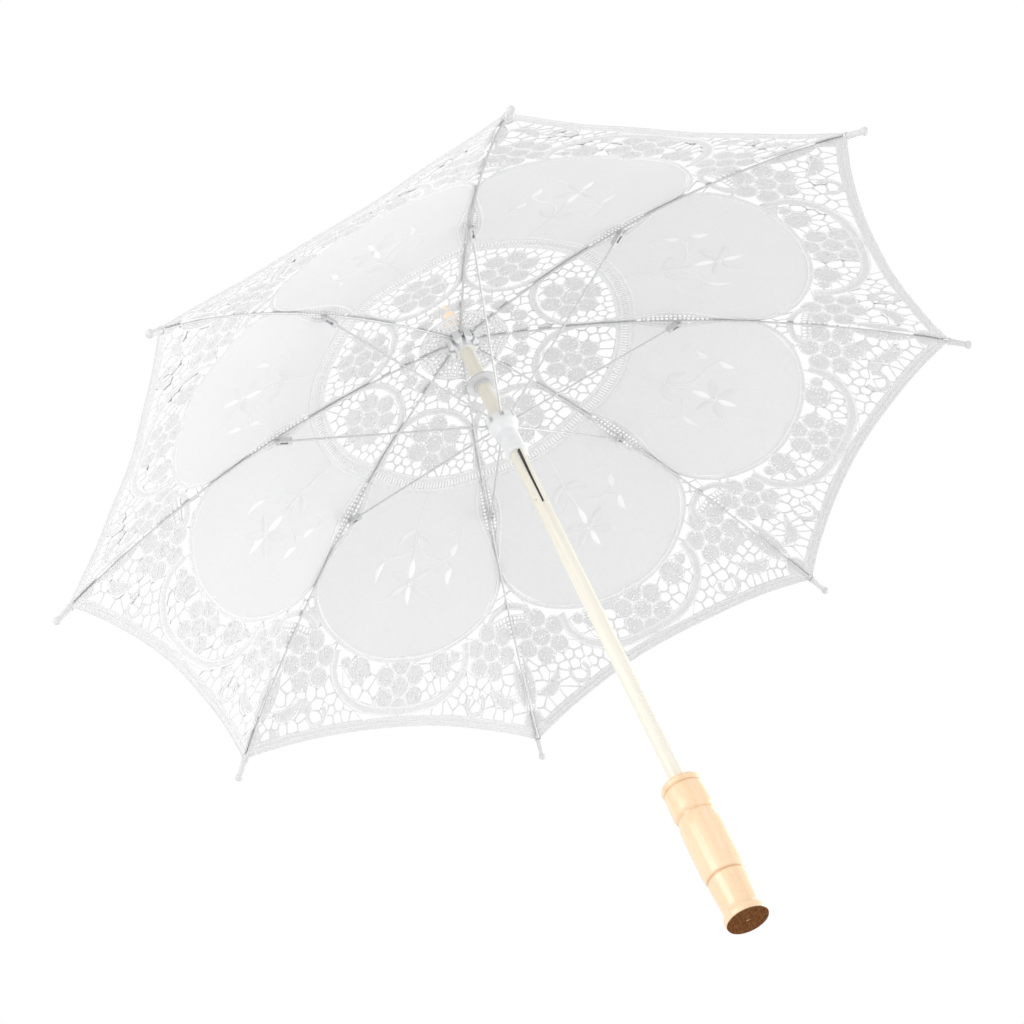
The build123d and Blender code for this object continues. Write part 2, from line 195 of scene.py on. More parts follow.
def strip(flat, path, section, width, height, closed=False, ripple=0.0, painted_light=1.0, core=None):
    """A band along a path, with its section scaled by width and height. Ripple makes it braided.

    The light and shade painted into its colour runs from 0, in shade, to 1, lit, and core is that of its
    middle.
    """
    path = np.asarray(path, float)
    if closed:
        ahead, back = np.roll(path, -1, axis=0), np.roll(path, 1, axis=0)
        tangent = ahead - back
    else:
        tangent = np.gradient(path, axis=0)
    tangent /= np.maximum(np.linalg.norm(tangent, axis=1, keepdims=True), 1e-9)
    normal = np.stack([-tangent[:, 1], tangent[:, 0]], 1)
    across = np.array([s[0] for s in section])
    rise = np.array([s[1] for s in section])
    n, m = len(path), len(section)
    width = np.broadcast_to(width, n)[:, None]
    height = np.broadcast_to(height, n)[:, None]
    beat = np.where(np.arange(n)[:, None] % 2 == 0, 1.0, -1.0) * np.sign(across)[None, :]
    lift = rise[None, :] * height * (1 + ripple * beat)
    plan = path[:, None, :] + normal[:, None, :] * (across[None, :] * width)[:, :, None]
    run = np.append(0, np.cumsum(np.linalg.norm(np.diff(path, axis=0), axis=1)))
    points = np.concatenate([plan, lift[:, :, None]], 2).reshape(-1, 3)
    # Painted light and shade: the middle of the band takes the core share, the rest the band's own share.
    tones = np.where(np.abs(across) < 0.5, painted_light if core is None else core, painted_light)
    weave = np.stack([np.repeat(run, m), (across[None, :] * width).ravel(), np.tile(tones, n)], 1)
    faces = []
    for i in range(n if closed else n - 1):
        a, b = i * m, (i + 1) % n * m
        faces += [(a + j, a + (j + 1) % m, b + (j + 1) % m, b + j) for j in range(m)]
    if not closed:
        faces += [tuple(reversed(range(m))), tuple(range((n - 1) * m, n * m))]
    flat.add(points, faces, weave)


def cells_round(seeds, spacing):
    """The ring of Voronoi corners round each seed."""
    verts, _, faces, origin, _, _ = delaunay_2d_cdt([Vector(s) for s in seeds], [], [], 0, 1e-6)
    p = np.array([v[:2] for v in verts])
    tri = np.array(faces)
    a, b, c = p[tri[:, 0]], p[tri[:, 1]], p[tri[:, 2]]
    ab, ac = b - a, c - a
    cross = 2 * (ab[:, 0] * ac[:, 1] - ab[:, 1] * ac[:, 0])
    cross = np.where(np.abs(cross) < 1e-9, 1e-9, cross)
    sb, sc = (ab**2).sum(1), (ac**2).sum(1)
    centre = a + np.stack([ac[:, 1] * sb - ab[:, 1] * sc, ab[:, 0] * sc - ac[:, 0] * sb], 1) / cross[:, None]
    owned = [[] for _ in p]
    for t, corners in enumerate(faces):
        for v in corners:
            owned[v].append(t)
    where = {i: v for v, found in enumerate(origin) for i in found}
    rings = []
    for i, seed in enumerate(seeds):
        ring = centre[owned[where[i]]]
        away = ring - seed
        far = np.linalg.norm(away, axis=1)
        ring = seed + away * np.minimum(1, 1.5 * spacing / np.maximum(far, 1e-9))[:, None]
        rings.append(ring[np.argsort(np.arctan2(away[:, 1], away[:, 0]))])
    return rings


def web(seeds, depth, spacing, rounds=0):
    """Cells round the seeds, walled in where depth turns negative, after some rounds of evening out."""
    for turn in range(rounds + 1):
        near, way = depth(seeds), slope(depth, seeds)
        low = near < 0.42 * spacing
        seeds = seeds + np.where(low, 0.42 * spacing - near, 0)[:, None] * way
        near = depth(seeds)
        keep, tree = near > 0.2 * spacing, KDTree(len(seeds))
        for i, s in enumerate(seeds):
            tree.insert((s[0], s[1], 0), i)
        tree.balance()
        for i, s in enumerate(seeds):
            if keep[i]:
                for _, j, _ in tree.find_range((s[0], s[1], 0), 0.5 * spacing):
                    keep[j] &= j <= i
        seeds, near = seeds[keep], near[keep]
        way = slope(depth, seeds)
        rim = near < 1.3 * spacing
        ghosts = (seeds - 2 * near[:, None] * way)[rim]
        ghosts = ghosts[depth(ghosts) < 0]
        rings = cells_round(np.vstack([seeds, ghosts]), spacing)[: len(seeds)]
        if turn < rounds:
            seeds = np.array([ring.mean(0) for ring in rings])
    joined = np.vstack(rings)
    for _ in range(2):
        out = np.minimum(depth(joined), 0)
        joined = joined - out[:, None] * slope(depth, joined)
    edge = depth(joined) < 0.05
    cut = np.cumsum([len(ring) for ring in rings])[:-1]
    return list(zip(np.split(joined, cut), np.split(edge, cut)))


def weave_cells(flat, cells, thread, rise, closed_share, fine, dice):
    """Threads round the cells. Some cells are closed by a dimple, and the rest are round holes."""
    seen, points, faces = {}, [], []

    def ridge(p, h):
        key = (round(p[0], 2), round(p[1], 2))
        if key not in seen:
            seen[key] = len(points)
            points.append((p[0], p[1], h))
            points.append((p[0], p[1], -h))
        return seen[key]

    for ring, edge in cells:
        n = len(ring)
        if n < 3:
            continue
        centre = ring.mean(0)
        mids = (ring + np.roll(ring, -1, axis=0)) / 2
        far = np.linalg.norm(ring - centre, axis=1)
        mid_far = np.maximum(np.linalg.norm(mids - centre, axis=1), 1e-6)
        hole = np.maximum(mid_far - thread, 0.25 * mid_far)
        corner = np.maximum(far - 2.0 * thread, 0.97 * (hole + np.roll(hole, 1)) / 2)
        corner = np.minimum(corner, 0.92 * far)
        tops, inner = [], []
        for i in range(n):
            low = 0.35 if edge[i] else 1.0
            tops.append(ridge(ring[i], rise * low))
            inner.append(centre + (ring[i] - centre) * corner[i] / max(far[i], 1e-6))
            if fine:
                low = 0.35 if edge[i] and edge[(i + 1) % n] else 0.85
                tops.append(ridge(mids[i], rise * low))
                inner.append(centre + (mids[i] - centre) * hole[i] / mid_far[i])
        m, start = len(tops), len(points)
        if dice.random() < closed_share:
            points.append((centre[0], centre[1], rise * 0.25))
            points.append((centre[0], centre[1], -rise * 0.25))
            for i in range(m):
                j = (i + 1) % m
                faces.append((tops[i], tops[j], start))
                faces.append((tops[j] + 1, tops[i] + 1, start + 1))
        else:
            points += [(p[0], p[1], 0.0) for p in inner]
            for i in range(m):
                j = (i + 1) % m
                faces.append((tops[i], tops[j], start + j, start + i))
                faces.append((tops[j] + 1, tops[i] + 1, start + i, start + j))
    points = np.array(points)
    faces = [f for f in faces if len(set(f)) == len(f)]
    # The third thread number, 0, paints every cell web, fillings and open net alike, in the darker colour as
    # painted shade.
    flat.add(points, faces, points * (1, 1, 0))


def lattice(low, high, step, turn, dice, loose):
    """Seeds on a turned square grid over a box, each moved a little at random."""
    centre, reach = (np.array(low) + high) / 2, np.linalg.norm(np.array(high) - low) / 2 + 2 * step
    ticks = np.arange(-reach, reach, step)
    grid = np.stack(np.meshgrid(ticks, ticks), -1).reshape(-1, 2)
    grid = grid + np.array([(dice.uniform(-1, 1), dice.uniform(-1, 1)) for _ in grid]) * loose * step
    c, s = math.cos(turn), math.sin(turn)
    grid = grid @ np.array(((c, s), (-s, c))) + centre
    return grid[((grid > np.array(low) - step) & (grid < np.array(high) + step)).all(1)]


def fill(flat, depth, low, high, dice,
         step=FILL_CELL, thread=FILL_THREAD, rise=0.5, closed=0.72, turn=None, loose=0.16):
    """Needle-lace filling of an area: small stitches with a few pin holes."""
    turn = dice.uniform(0, math.pi) if turn is None else turn
    seeds = lattice(low, high, step, turn, dice, loose)
    seeds = seeds[depth(seeds) > 0.15 * step]
    if len(seeds) > 3:
        weave_cells(flat, web(seeds, depth, step), thread, rise, closed, False, dice)


# ---------------------------------------------------------------- the lace of one half panel

# Outline of one petal of plain cotton, from the medallion to the panel's middle
PETAL = [(0.137, 0.390), (0.139, 0.42), (0.149, 0.465), (0.171, 0.51), (0.205, 0.562), (0.232, 0.616),
         (0.229, 0.678), (0.203, 0.726), (0.157, 0.766), (0.106, 0.793), (0.05, 0.808), (0.0, 0.811)]
ARCH = [(0.168, 0.785), (0.172, 0.83), (0.156, 0.868), (0.125, 0.897), (0.08, 0.918), (0.0, 0.927)]
SCALLOP = [(0.124, 0.350), (0.113, 0.297), (0.089, 0.246), (0.048, 0.209), (0.0, 0.197)]
RING_OUT, RING_IN = 0.3785, 0.3505
SPOKES = (0.049, 0.100)
PAST_RIB = 22.6
SPRIG_OUT = 0.014

# A padded leaf below the hem, as its outer and its inner side
CRESCENT_OUT = [(0.246, 0.888), (0.262, 0.921), (0.294, 0.938), (0.334, 0.915)]
CRESCENT_BACK = [(0.334, 0.915), (0.298, 0.912), (0.276, 0.903), (0.246, 0.888)]

# Motifs on a rib's line, as corner radii along the rib and beside it
DOME_BASE = [(0.73, 0.058), (0.708, 0.04), (0.700, 0.0), (0.708, -0.04), (0.73, -0.058)]
LONG_LEAF_OUT = [(0.822, 0.012), (0.86, 0.023), (0.905, 0.022), (0.945, 0.008)]
LONG_LEAF_BACK = [(0.945, 0.008), (0.90, 0.004), (0.86, 0.004), (0.822, 0.012)]
GUSSET = [(0.988, 0.001), (0.972, 0.022), (0.950, 0.019), (0.940, 0.0)]


def hem_line(x):
    return 0.947 + 0.046 * (abs(x) / SIN) ** 2


def flower(centre, spread, turn):
    """Centres of a flower of seven discs."""
    found = [centre]
    for i in range(6):
        a = math.radians(turn + 60 * i)
        found.append(centre + spread * CORNER_R * np.array((math.cos(a), math.sin(a))))
    return found


class Motif:
    """Everything in one half panel that repeats, with the areas that the open net keeps out of."""

    def __init__(self, dice):
        self.flat, self.solid, self.dice = Flat(), [], dice
        self.petal_edge = smooth([at(*p) for p in PETAL], TAPE_STEP)
        self.petal()
        self.hem()
        self.arch()
        self.medallion()
        for centre in flower(at(0, 0.873), 0.0435, 90):
            self.disc(centre, DISC_R * 0.95)
        for centre in flower(at(0.238, 0.806), 0.0435, 70):
            self.disc(centre, DISC_R * 0.93)
        self.disc(at(0.106, 0.831), 0.0275, closed=0.55)
        self.disc(at(0.1405, 0.815), 0.0125)
        self.half_rings()
        self.crescent()
        self.rib_motifs()
        self.rib_leaf()

    def tape(self, path, half, ripple=0.16):
        # Painted light on the tape's raised edges, and painted shade in its grooved middle.
        strip(self.flat, path, TAPE, half, 0.6, ripple=ripple, painted_light=0.85, core=0.0)
        self.solid.append(band(path, half * 0.85))

    def cord(self, path, radius=CORD, closed=False):
        strip(self.flat, path, ROUND, radius, radius, closed=closed)

    def disc(self, centre, radius, closed=0.72):
        """A needle-lace disc inside a round cord."""
        r = radius * CORNER_R
        if centre[0] < -r - 1:
            return
        self.cord(arc(centre, r, 0, 360, 1.6)[:-1], 0.48, closed=True)
        fill(self.flat, disc(centre, r), centre - r, centre + r, self.dice, closed=closed)
        self.solid.append(disc(centre, r))

    def petal(self):
        """The petal's rolled edge: a cord on the cotton and a narrow tape outside it."""
        edge = self.petal_edge
        side = np.gradient(edge, axis=0)
        side /= np.linalg.norm(side, axis=1, keepdims=True)
        out = edge + np.stack([side[:, 1], -side[:, 0]], 1) * 1.45
        out[-1, 0] = 0.0
        self.cord(edge, 0.62)
        # Painted shade in the middle of the narrow tape.
        strip(self.flat, out, TAPE, 1.15, 0.45, ripple=0.2, painted_light=0.9, core=0.3)
        closed = np.vstack([out, out[::-1] * (-1, 1)])
        self.solid.append(area(closed))

    def hem(self):
        """Two rows of tape along the concave hem in half painted shade, with a stitched gutter between them
        in full painted shade.
        """
        x = np.linspace(0, SIN * 0.992, 90)
        line = np.array([at(v, hem_line(v)) for v in x])
        side = np.gradient(line, axis=0)
        side = np.stack([-side[:, 1], side[:, 0]], 1) / np.linalg.norm(side, axis=1, keepdims=True)
        side[0] = (0, 1)
        for off in (-1.2, 1.25):
            strip(self.flat, line + side * off, TAPE, HEM_HALF, 0.62, ripple=0.2, painted_light=0.55, core=0.0)
        strip(self.flat, line + side * 2.75, ROUND, 0.45, 0.45, painted_light=0.0)
        self.solid.append(band(np.vstack([line[3::-1] * (-1, 1), line]), 2.3))

    def arch(self):
        path = smooth([at(*p) for p in ARCH], TAPE_STEP)
        path[-1, 0] = 0.0
        self.tape(path, 2.8)

    def medallion(self):
        """Two ring tapes joined by a ladder, a scalloped tape, a flower and the spokes round the hub."""
        for radius in (RING_OUT, RING_IN):
            path = arc((0, 0), radius * CORNER_R, 90, 90 - PAST_RIB, 1.3)
            # Painted shade in the middle of each ring tape.
            strip(self.flat, path, TAPE, 1.9, 0.6, ripple=0.18, painted_light=0.9, core=0.3)
        low, high = RING_IN * CORNER_R + 1.4, RING_OUT * CORNER_R - 1.4
        for step in np.arange(0.6, PAST_RIB, 1.2):
            a = math.radians(90 - step)
            way = np.array((math.cos(a), math.sin(a)))
            # The ladder's bars are painted in shade.
            strip(self.flat, [way * low, way * (low + high) / 2, way * high], ROUND, 0.7, 0.4, painted_light=0.0)
        rings = arc((0, 0), (RING_IN + RING_OUT) / 2 * CORNER_R, 100, 60, 2.0)
        self.solid.append(band(rings, (RING_OUT - RING_IN) / 2 * CORNER_R + 1.4))
        path = smooth([at(*p) for p in SCALLOP], TAPE_STEP)
        path[-1, 0] = 0.0
        self.tape(path, 2.2)
        for centre in flower(at(0, 0.284), 0.046, 90):
            self.disc(centre, DISC_R)
        for centre in (at(0, 0.154), at(0.040, 0.138)):
            self.disc(centre, 0.018)
        low, high = (r * CORNER_R for r in SPOKES)
        for radius in (low, high):
            strip(self.flat, arc((0, 0), radius, 90, 90 - PAST_RIB, 1.2), TAPE, 1.1, 0.6, ripple=0.18)
        for degrees in (0.0, 11.25, 22.5):
            way = ray(1.0, degrees) / CORNER_R
            strip(self.flat, [way * r for r in np.linspace(low, high, 9)], TAPE, 0.9, 0.55, ripple=0.18)
        wheel = arc((0, 0), (low + high) / 2, 110, 55, 2.0)
        within = band(wheel, (high - low) / 2)
        fill(self.flat, within, (-2, low * 0.8), (high * 0.5, high + 1), self.dice,
             step=2.6, thread=0.34, rise=0.4, closed=0.05, turn=HALF / 2, loose=0.08)
        self.solid.append(disc(np.zeros(2), high + 1.0))

    def half_rings(self):
        """A tape curled into a ring on the hem."""
        centre = at(0.208, 0.922)
        path = arc(centre, 0.0215 * CORNER_R, -50, 215, 1.2)
        self.tape(path, 1.45)

    def crescent(self):
        """A padded crescent leaf below the hem."""
        outer = smooth([at(*p) for p in CRESCENT_OUT], 1.5)
        back = smooth([at(*p) for p in CRESCENT_BACK], 1.5)
        outline = np.vstack([outer[:-1], back[:-1]])
        self.patch(outline, closed=0.8)

    def patch(self, outline, closed=0.8, step=FILL_CELL, thread=0.42, turn=None, rise=0.5):
        """A filled leaf or panel with a cord round it."""
        self.cord(outline, 0.48, closed=True)
        depth = area(outline)
        fill(self.flat, depth, outline.min(0), outline.max(0), self.dice,
             step=step, thread=thread, rise=rise, closed=closed, turn=turn)
        self.solid.append(depth)

    def rib_motifs(self):
        """What stands on the rib's line: a meshed half disc with a bold base, a long leaf and the gusset."""
        out = np.array((SIN, COS))
        side = np.array((-COS, SIN))

        def beside(along, across):
            return (out * along + side * across) * CORNER_R

        dome = [beside(0.722 + 0.052 * math.sin(t), 0.047 * math.cos(t)) for t in np.linspace(0, math.pi, 22)]
        self.patch(np.array(dome), closed=0.0, step=2.6, thread=0.4, turn=-HALF, rise=0.4)
        base = smooth([beside(*p) for p in DOME_BASE], TAPE_STEP)
        self.tape(base, 2.0)
        leaf = smooth([beside(*p) for p in LONG_LEAF_OUT], 1.5)
        inner = smooth([beside(*p) for p in LONG_LEAF_BACK], 1.5)
        self.patch(np.vstack([leaf[:-1], inner[:-1]]), closed=0.85)
        gusset = smooth([beside(*p) for p in GUSSET], 1.4)
        mirror = gusset[::-1]
        flip = 2 * (mirror @ out)[:, None] * out - mirror
        self.patch(np.vstack([gusset, flip[1:-1]]), closed=0.95)

    def rib_leaf(self):
        """The slim leaf of square mesh between two petals, which the rib crosses."""
        out = np.array((SIN, COS))
        edge = self.petal_edge
        cut = edge[(edge @ out > 0.372 * CORNER_R) & (edge @ out < 0.575 * CORNER_R)]
        flip = 2 * (cut[::-1] @ out)[:, None] * out - cut[::-1]
        outline = np.vstack([cut, flip])
        fill(self.flat, area(outline), outline.min(0), outline.max(0), self.dice,
             step=2.5, thread=0.42, rise=0.42, closed=0.0, turn=-HALF, loose=0.05)
        self.solid.append(area(outline))

    def free(self, p):
        """Room for the open net: how far a point is from everything solid, negative inside it."""
        return -np.max([depth(p) for depth in self.solid], axis=0)


# ---------------------------------------------------------------- from the drawing to the canopy


def cloth_arc():
    """Centre and radius of the arc that the cloth follows over a rib, in the rib's own plane."""
    co = np.array([v.co for v in frame["nodes"]["canopy_1_left"].data.vertices]) / MM
    edge = co[np.abs(co[:, 1]) < 0.5]
    x, z = edge[:, 0], edge[:, 2]
    a, b, c = np.linalg.lstsq(np.stack([2 * x, 2 * z, np.ones(len(x))], 1), x**2 + z**2, rcond=None)[0]
    return a, b, math.sqrt(c + a * a + b * b)


ARC_X, ARC_Z, ARC_R = cloth_arc()


def lift(points):
    """Points of the drawing, with their rise, as points on the canopy in metres."""
    plan = points[:, :2]
    x, y = plan[:, 0], plan[:, 1]
    reach = np.clip(np.hypot(x, y) / CORNER_R, 0, 1)
    along = np.sin(0.041 * x + 1.1) * np.cos(0.052 * y)
    across = np.cos(0.047 * x) * np.sin(0.039 * y + 0.6)
    plan = plan + DRIFT * np.stack([along, across], 1) * (reach * (1 - reach) * 4)[:, None]
    angle = np.arctan2(plan[:, 1], plan[:, 0])
    middle = (np.floor(angle / (2 * HALF)) + 0.5) * 2 * HALF
    way = np.stack([np.cos(middle), np.sin(middle)], 1)
    q = (plan * way).sum(1) / COS
    height = np.sqrt(ARC_R**2 - (q - ARC_X) ** 2)
    fall = -(q - ARC_X) / height / COS
    normal = np.concatenate([-fall[:, None] * way, np.ones((len(q), 1))], 1)
    normal /= np.linalg.norm(normal, axis=1, keepdims=True)
    off_rib = np.clip(np.abs(np.abs(angle - middle) - HALF) * q / 40.0, 0, 1)
    slack = SLACK * off_rib * (np.sin(0.071 * x + 0.9) * np.sin(0.063 * y) - 0.3)
    surface = np.concatenate([plan, (ARC_Z + height)[:, None]], 1)
    return (surface + normal * (points[:, 2] + slack)[:, None]) * MM


def turned(points, azimuth, mirror):
    """Panel points turned to the panel's place round the hub."""
    x, y = points[:, 0] * (-1 if mirror else 1), points[:, 1]
    c, s = math.cos(azimuth), math.sin(azimuth)
    return np.concatenate([np.stack([y * c + x * s, y * s - x * c], 1), points[:, 2:]], 1)


def to_object(name, points, faces, weave, material):
    mesh = bpy.data.meshes.new(name)
    mesh.from_pydata(points.tolist(), [], faces)
    thread = mesh.attributes.new("thread", "FLOAT_VECTOR", "POINT")
    thread.data.foreach_set("vector", weave.astype(np.float32).ravel())
    mesh.polygons.foreach_set("use_smooth", [True] * len(mesh.polygons))
    mesh.set_sharp_from_angle(angle=math.radians(62))
    mesh.materials.append(material)
    obj = bpy.data.objects.new(name, mesh)
    bpy.context.scene.collection.objects.link(obj)
    return obj


def cut(flat, planes):
    """The drawing's mesh, cut off behind each vertical plane, given as a way into what is kept."""
    points, faces, weave = flat.arrays()
    obj = to_object("scratch", points, faces, weave, None)
    bm = bmesh.new()
    bm.from_mesh(obj.data)
    for way in planes:
        everything = bm.verts[:] + bm.edges[:] + bm.faces[:]
        bmesh.ops.bisect_plane(bm, geom=everything, plane_co=(0, 0, 0), plane_no=(*way, 0), dist=1e-4,
                               clear_inner=True)
    bmesh.ops.dissolve_degenerate(bm, edges=bm.edges, dist=1e-4)
    bm.verts.index_update()
    layer = bm.verts.layers.float_vector["thread"]
    points = np.array([v.co for v in bm.verts])
    weave = np.array([v[layer] for v in bm.verts])
    faces = [tuple(v.index for v in f.verts) for f in bm.faces]
    bm.free()
    mesh = obj.data
    bpy.data.objects.remove(obj)
    bpy.data.meshes.remove(mesh)
    return points, faces, weave


# ---------------------------------------------------------------- materials


def material(name):
    mat = bpy.data.materials.new(name)
    mat.use_nodes = True
    nodes = mat.node_tree.nodes
    return mat, nodes, mat.node_tree.links, nodes["Principled BSDF"]


def ramp(nodes, links, source, stops):
    """Colours along a 0 to 1 signal."""
    node = nodes.new("ShaderNodeValToRGB")
    node.color_ramp.elements[0].position, node.color_ramp.elements[0].color = stops[0][0], (*stops[0][1], 1)
    node.color_ramp.elements[1].position, node.color_ramp.elements[1].color = stops[-1][0], (*stops[-1][1], 1)
    for place, colour in stops[1:-1]:
        node.color_ramp.elements.new(place).color = (*colour, 1)
    links.new(source, node.inputs["Fac"])
    return node.outputs["Color"]


def noise(nodes, links, source, scale, detail=2.0, stretch=(1, 1, 1)):
    """Noise over a coordinate, stretched by a mapping."""
    mapping = nodes.new("ShaderNodeMapping")
    mapping.inputs["Scale"].default_value = stretch
    links.new(source, mapping.inputs["Vector"])
    node = nodes.new("ShaderNodeTexNoise")
    node.inputs["Scale"].default_value = scale
    node.inputs["Detail"].default_value = detail
    links.new(mapping.outputs["Vector"], node.inputs["Vector"])
    return node.outputs["Fac"]


def bump(nodes, links, height, shader, strength, distance, before=None):
    node = nodes.new("ShaderNodeBump")
    node.inputs["Strength"].default_value = strength
    node.inputs["Distance"].default_value = distance
    links.new(height, node.inputs["Height"])
    if before is not None:
        links.new(before, node.inputs["Normal"])
    if shader is not None:
        links.new(node.outputs["Normal"], shader.inputs["Normal"])
    return node.outputs["Normal"]


def wave(nodes, links, source, scale, direction="X", distortion=0.0):
    node = nodes.new("ShaderNodeTexWave")
    node.bands_direction = direction
    node.inputs["Scale"].default_value = scale
    node.inputs["Distortion"].default_value = distortion
    links.new(source, node.inputs["Vector"])
    return node.outputs["Fac"]


def let_light_through(nodes, links, shader, colour, share):
    """Mixes in light that comes through thin cloth."""
    thin = nodes.new("ShaderNodeBsdfTranslucent")
    thin.inputs["Color"].default_value = (*colour, 1)
    mix = nodes.new("ShaderNodeMixShader")
    mix.inputs["Fac"].default_value = share
    links.new(shader.outputs[0], mix.inputs[1])
    links.new(thin.outputs[0], mix.inputs[2])
    links.new(mix.outputs[0], nodes["Material Output"].inputs["Surface"])


def map_range(nodes, links, source, low, high, top=1.0):
    """A value that grows from 0 at low to top at high."""
    node = nodes.new("ShaderNodeMapRange")
    node.inputs["From Min"].default_value = low
    node.inputs["From Max"].default_value = high
    node.inputs["To Max"].default_value = top
    links.new(source, node.inputs["Value"])
    return node.outputs["Result"]


def mix_colours(nodes, links, first, second, share=1.0, blend="MIX"):
    """Two colours mixed or multiplied, by a share that is a number or a socket."""
    node = nodes.new("ShaderNodeMix")
    node.data_type, node.blend_type = "RGBA", blend
    if isinstance(share, float):
        node.inputs["Factor"].default_value = share
    else:
        links.new(share, node.inputs["Factor"])
    links.new(first, node.inputs["A"])
    links.new(second, node.inputs["B"])
    return node.outputs["Result"]


def height_of(nodes, links, vector):
    """The third number of a coordinate or attribute."""
    split = nodes.new("ShaderNodeSeparateXYZ")
    links.new(vector, split.inputs[0])
    return split.outputs["Z"]


def by_painted_light(nodes, links, thread, low, high):
    """Mixes a shaded and a lit colour by the painted light and shade that each thread carries."""
    return mix_colours(nodes, links, low, high, height_of(nodes, links, thread.outputs["Vector"]))


def lace_material():
    """Mercerised cotton: plied thread with stitches along every tape and cord, and light and shade painted
    into its colour thread by thread.
    """
    mat, nodes, links, shader = material("cotton_lace_thread")
    thread = nodes.new("ShaderNodeAttribute")
    thread.attribute_name = "thread"
    place = nodes.new("ShaderNodeTexCoord").outputs["Object"]
    mottled = noise(nodes, links, place, 900.0, 3.0)
    # The darker colour is painted shade, for fillings, gutters and tape middles; the lighter one is the lit
    # thread.
    shaded_filling = ramp(nodes, links, mottled, [(0.3, (0.66, 0.66, 0.663)), (0.7, (0.78, 0.78, 0.783))])
    lit_braid = ramp(nodes, links, mottled, [(0.3, (0.78, 0.78, 0.783)), (0.7, (0.89, 0.89, 0.893))])
    links.new(by_painted_light(nodes, links, thread, shaded_filling, lit_braid), shader.inputs["Base Color"])
    shader.inputs["Roughness"].default_value = 0.72
    shader.inputs["Sheen Weight"].default_value = 0.25
    shader.inputs["Sheen Roughness"].default_value = 0.4
    plies = wave(nodes, links, thread.outputs["Vector"], 0.55, "DIAGONAL", 0.6)
    first = bump(nodes, links, plies, None, 0.5, 0.0003)
    bump(nodes, links, noise(nodes, links, place, 2600.0, 2.0), shader, 0.5, 0.0002, first)
    return mat


def cotton_material(name, glow):
    """Plain cotton lawn: a fine square weave with slubs, and the share of light that it lets through."""
    mat, nodes, links, shader = material(name)
    place = nodes.new("ShaderNodeTexCoord").outputs["Object"]
    warp = noise(nodes, links, place, 1.0, 1.0, (260, 2600, 260))
    weft = noise(nodes, links, place, 1.0, 1.0, (2600, 260, 260))
    weave = nodes.new("ShaderNodeMath")
    weave.operation = "ADD"
    links.new(warp, weave.inputs[0])
    links.new(weft, weave.inputs[1])
    half = nodes.new("ShaderNodeMath")
    half.operation = "MULTIPLY"
    half.inputs[1].default_value = 0.5
    links.new(weave.outputs[0], half.inputs[0])
    tones = [(0.36, (0.765, 0.765, 0.768)), (0.64, (0.815, 0.815, 0.818))]
    colour = ramp(nodes, links, half.outputs[0], tones)
    links.new(colour, shader.inputs["Base Color"])
    shader.inputs["Roughness"].default_value = 0.85
    shader.inputs["Sheen Weight"].default_value = 0.2
    bump(nodes, links, half.outputs[0], shader, 0.35, 0.0002)
    let_light_through(nodes, links, shader, (0.92, 0.92, 0.92), glow)
    return mat


def satin_material():
    """Embroidery floss: brighter than the cotton, with stitches laid side by side, and a painted sheen that
    lightens or darkens each leaf by its stitch direction.
    """
    mat, nodes, links, shader = material("embroidery_floss")
    thread = nodes.new("ShaderNodeAttribute")
    thread.attribute_name = "thread"
    stitches = wave(nodes, links, thread.outputs["Vector"], 0.62, "X", 0.4)
    # Painted sheen: the darker colour for stitches that lie across the panel, the lighter for those along it.
    low = ramp(nodes, links, stitches, [(0.2, (0.69, 0.69, 0.693)), (0.8, (0.79, 0.79, 0.793))])
    high = ramp(nodes, links, stitches, [(0.2, (0.90, 0.90, 0.905)), (0.8, (0.97, 0.97, 0.97))])
    links.new(by_painted_light(nodes, links, thread, low, high), shader.inputs["Base Color"])
    shader.inputs["Roughness"].default_value = 0.42
    shader.inputs["Sheen Weight"].default_value = 0.3
    bump(nodes, links, stitches, shader, 0.6, 0.0002)
    return mat


WHITE = (1, 1, 1)

# Painted shade in the handle's grooves: height in metres, and the share of light that it leaves
GROOVE_SHADE = ((0.0274, (0.66, 0.45, 0.30)), (0.0668, (0.84, 0.70, 0.56)), (0.0844, (0.74, 0.55, 0.40)))
GROOVE_SOFT = 0.0007
HANDLE_TOP = 0.0894
END_GRAIN_Z = (0.0004, 0.0009)


